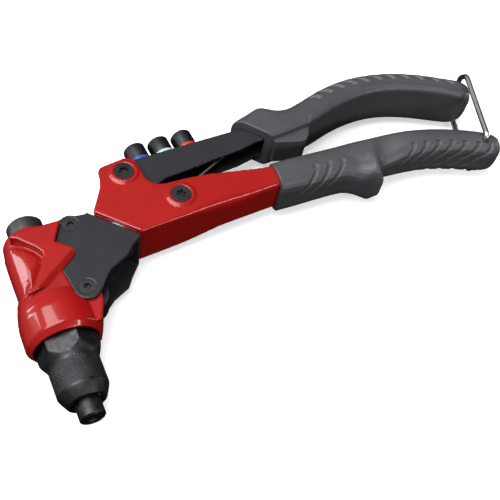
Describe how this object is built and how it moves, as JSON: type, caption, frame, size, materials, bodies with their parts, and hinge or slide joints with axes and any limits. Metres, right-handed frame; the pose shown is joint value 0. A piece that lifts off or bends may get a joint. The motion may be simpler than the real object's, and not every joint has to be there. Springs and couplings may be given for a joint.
{
  "type": "hand riveter",
  "caption": "Two-handled lever hand riveter with a swivelling head, a screwed nose sleeve, a row of spare nosepieces on the upper handle and a wire bail that locks the handles shut.",
  "frame": {"origin": "centre of the nosepiece mouth, on the barrel axis", "axes": "+Y up the barrel to the end cap, +X along the handles away from the head, +Z out of the side with the screw heads"},
  "size_m": [0.2845, 0.1413, 0.0348],
  "materials": {
    "red_paint": "gloss red enamel",
    "black_paint": "satin black powder coat",
    "black_oxide": "black oxide steel",
    "bright_steel": "machined steel",
    "spring_steel": "bright drawn wire",
    "grip_rubber": "matte moulded grip",
    "black_plastic": "matte black moulding",
    "ring_blue": "colour ring",
    "ring_green": "colour ring",
    "ring_red": "colour ring",
    "ring_olive": "colour ring"
  },
  "bodies": {
    "frame": {"lower_frame": "red_paint", "swivel_block": "red_paint", "frame_bolts": "black_oxide", "bolt_sleeves": "black_oxide", "pivot_washers": "bright_steel", "spring_spacer": "bright_steel", "opening_spring": "spring_steel", "lower_grip": "grip_rubber"},
    "spring_leg": {"opening_spring_leg": "spring_steel"},
    "lever": {"lever_channel": "black_paint", "roller_pin": "bright_steel", "nosepiece_holder": "black_plastic", "upper_grip": "grip_rubber", "spare_nosepiece_blue": "black_oxide", "spare_nosepiece_green": "black_oxide", "spare_nosepiece_red": "black_oxide", "spare_ring_blue": "ring_blue", "spare_ring_green": "ring_green", "spare_ring_red": "ring_red"},
    "cam_roller": {"cam_roller": "bright_steel"},
    "plunger": {"plunger": "bright_steel"},
    "head": {"head_casting": "red_paint", "head_bracket": "black_paint", "bracket_screws": "black_oxide", "bracket_sleeves": "black_oxide", "lower_spacer": "black_oxide", "swivel_spindle": "bright_steel", "thrust_washer": "bright_steel", "spindle_nut": "black_oxide", "nose_sleeve": "black_oxide", "nosepiece": "black_oxide", "nosepiece_ring": "ring_olive", "end_cap": "black_plastic", "return_spring": "spring_steel"},
    "rocker": {"rocker": "black_oxide"},
    "pull_jaws": {"pull_tube": "bright_steel", "jaw_case": "bright_steel", "jaws": "black_oxide", "jaw_pusher": "bright_steel", "jaw_spring": "spring_steel"},
    "bail": {"bail": "spring_steel"}
  },
  "joints": [
    {"name": "lever_hinge", "type": "hinge", "parent": "frame", "child": "lever", "pos_m": [0.0523, 0.11151, 0], "axis": [0, 0, 1], "range_deg": [0, 36]},
    {"name": "spring_leg_hinge", "type": "hinge", "parent": "frame", "child": "spring_leg", "pos_m": [0.0738, 0.09001, 0], "axis": [0, 0, 1], "range_deg": [0, 37.2]},
    {"name": "roller_spin", "type": "hinge", "parent": "lever", "child": "cam_roller", "pos_m": [0.05718, 0.10193, 0], "axis": [0, 0, 1], "continuous": true},
    {"name": "plunger_slide", "type": "slide", "parent": "frame", "child": "plunger", "axis": [0.7071, 0.7071, 0], "range_m": [0, 0.00666]},
    {"name": "head_swivel", "type": "hinge", "parent": "frame", "child": "head", "pos_m": [0.04, 0.084, 0], "axis": [0.7071, 0.7071, 0], "continuous": true},
    {"name": "rocker_hinge", "type": "hinge", "parent": "head", "child": "rocker", "pos_m": [0.0185, 0.08937, 0], "axis": [0, 0, 1], "range_deg": [0, 20.16]},
    {"name": "jaw_slide", "type": "slide", "parent": "head", "child": "pull_jaws", "axis": [0, -1, 0], "range_m": [0, 0.00649]},
    {"name": "bail_hinge", "type": "hinge", "parent": "frame", "child": "bail", "pos_m": [0.2469, 0.0746, 0], "axis": [0, 0, 1], "range_deg": [-110, 0]}
  ],
  "couplings": [
    {"joint": "spring_leg_hinge", "follows": "lever_hinge", "ratio": 1.03},
    {"joint": "plunger_slide", "follows": "lever_hinge", "m_per_rad": 0.010574},
    {"joint": "rocker_hinge", "follows": "lever_hinge", "ratio": 0.5594},
    {"joint": "jaw_slide", "follows": "lever_hinge", "m_per_rad": 0.010298}
  ]
}
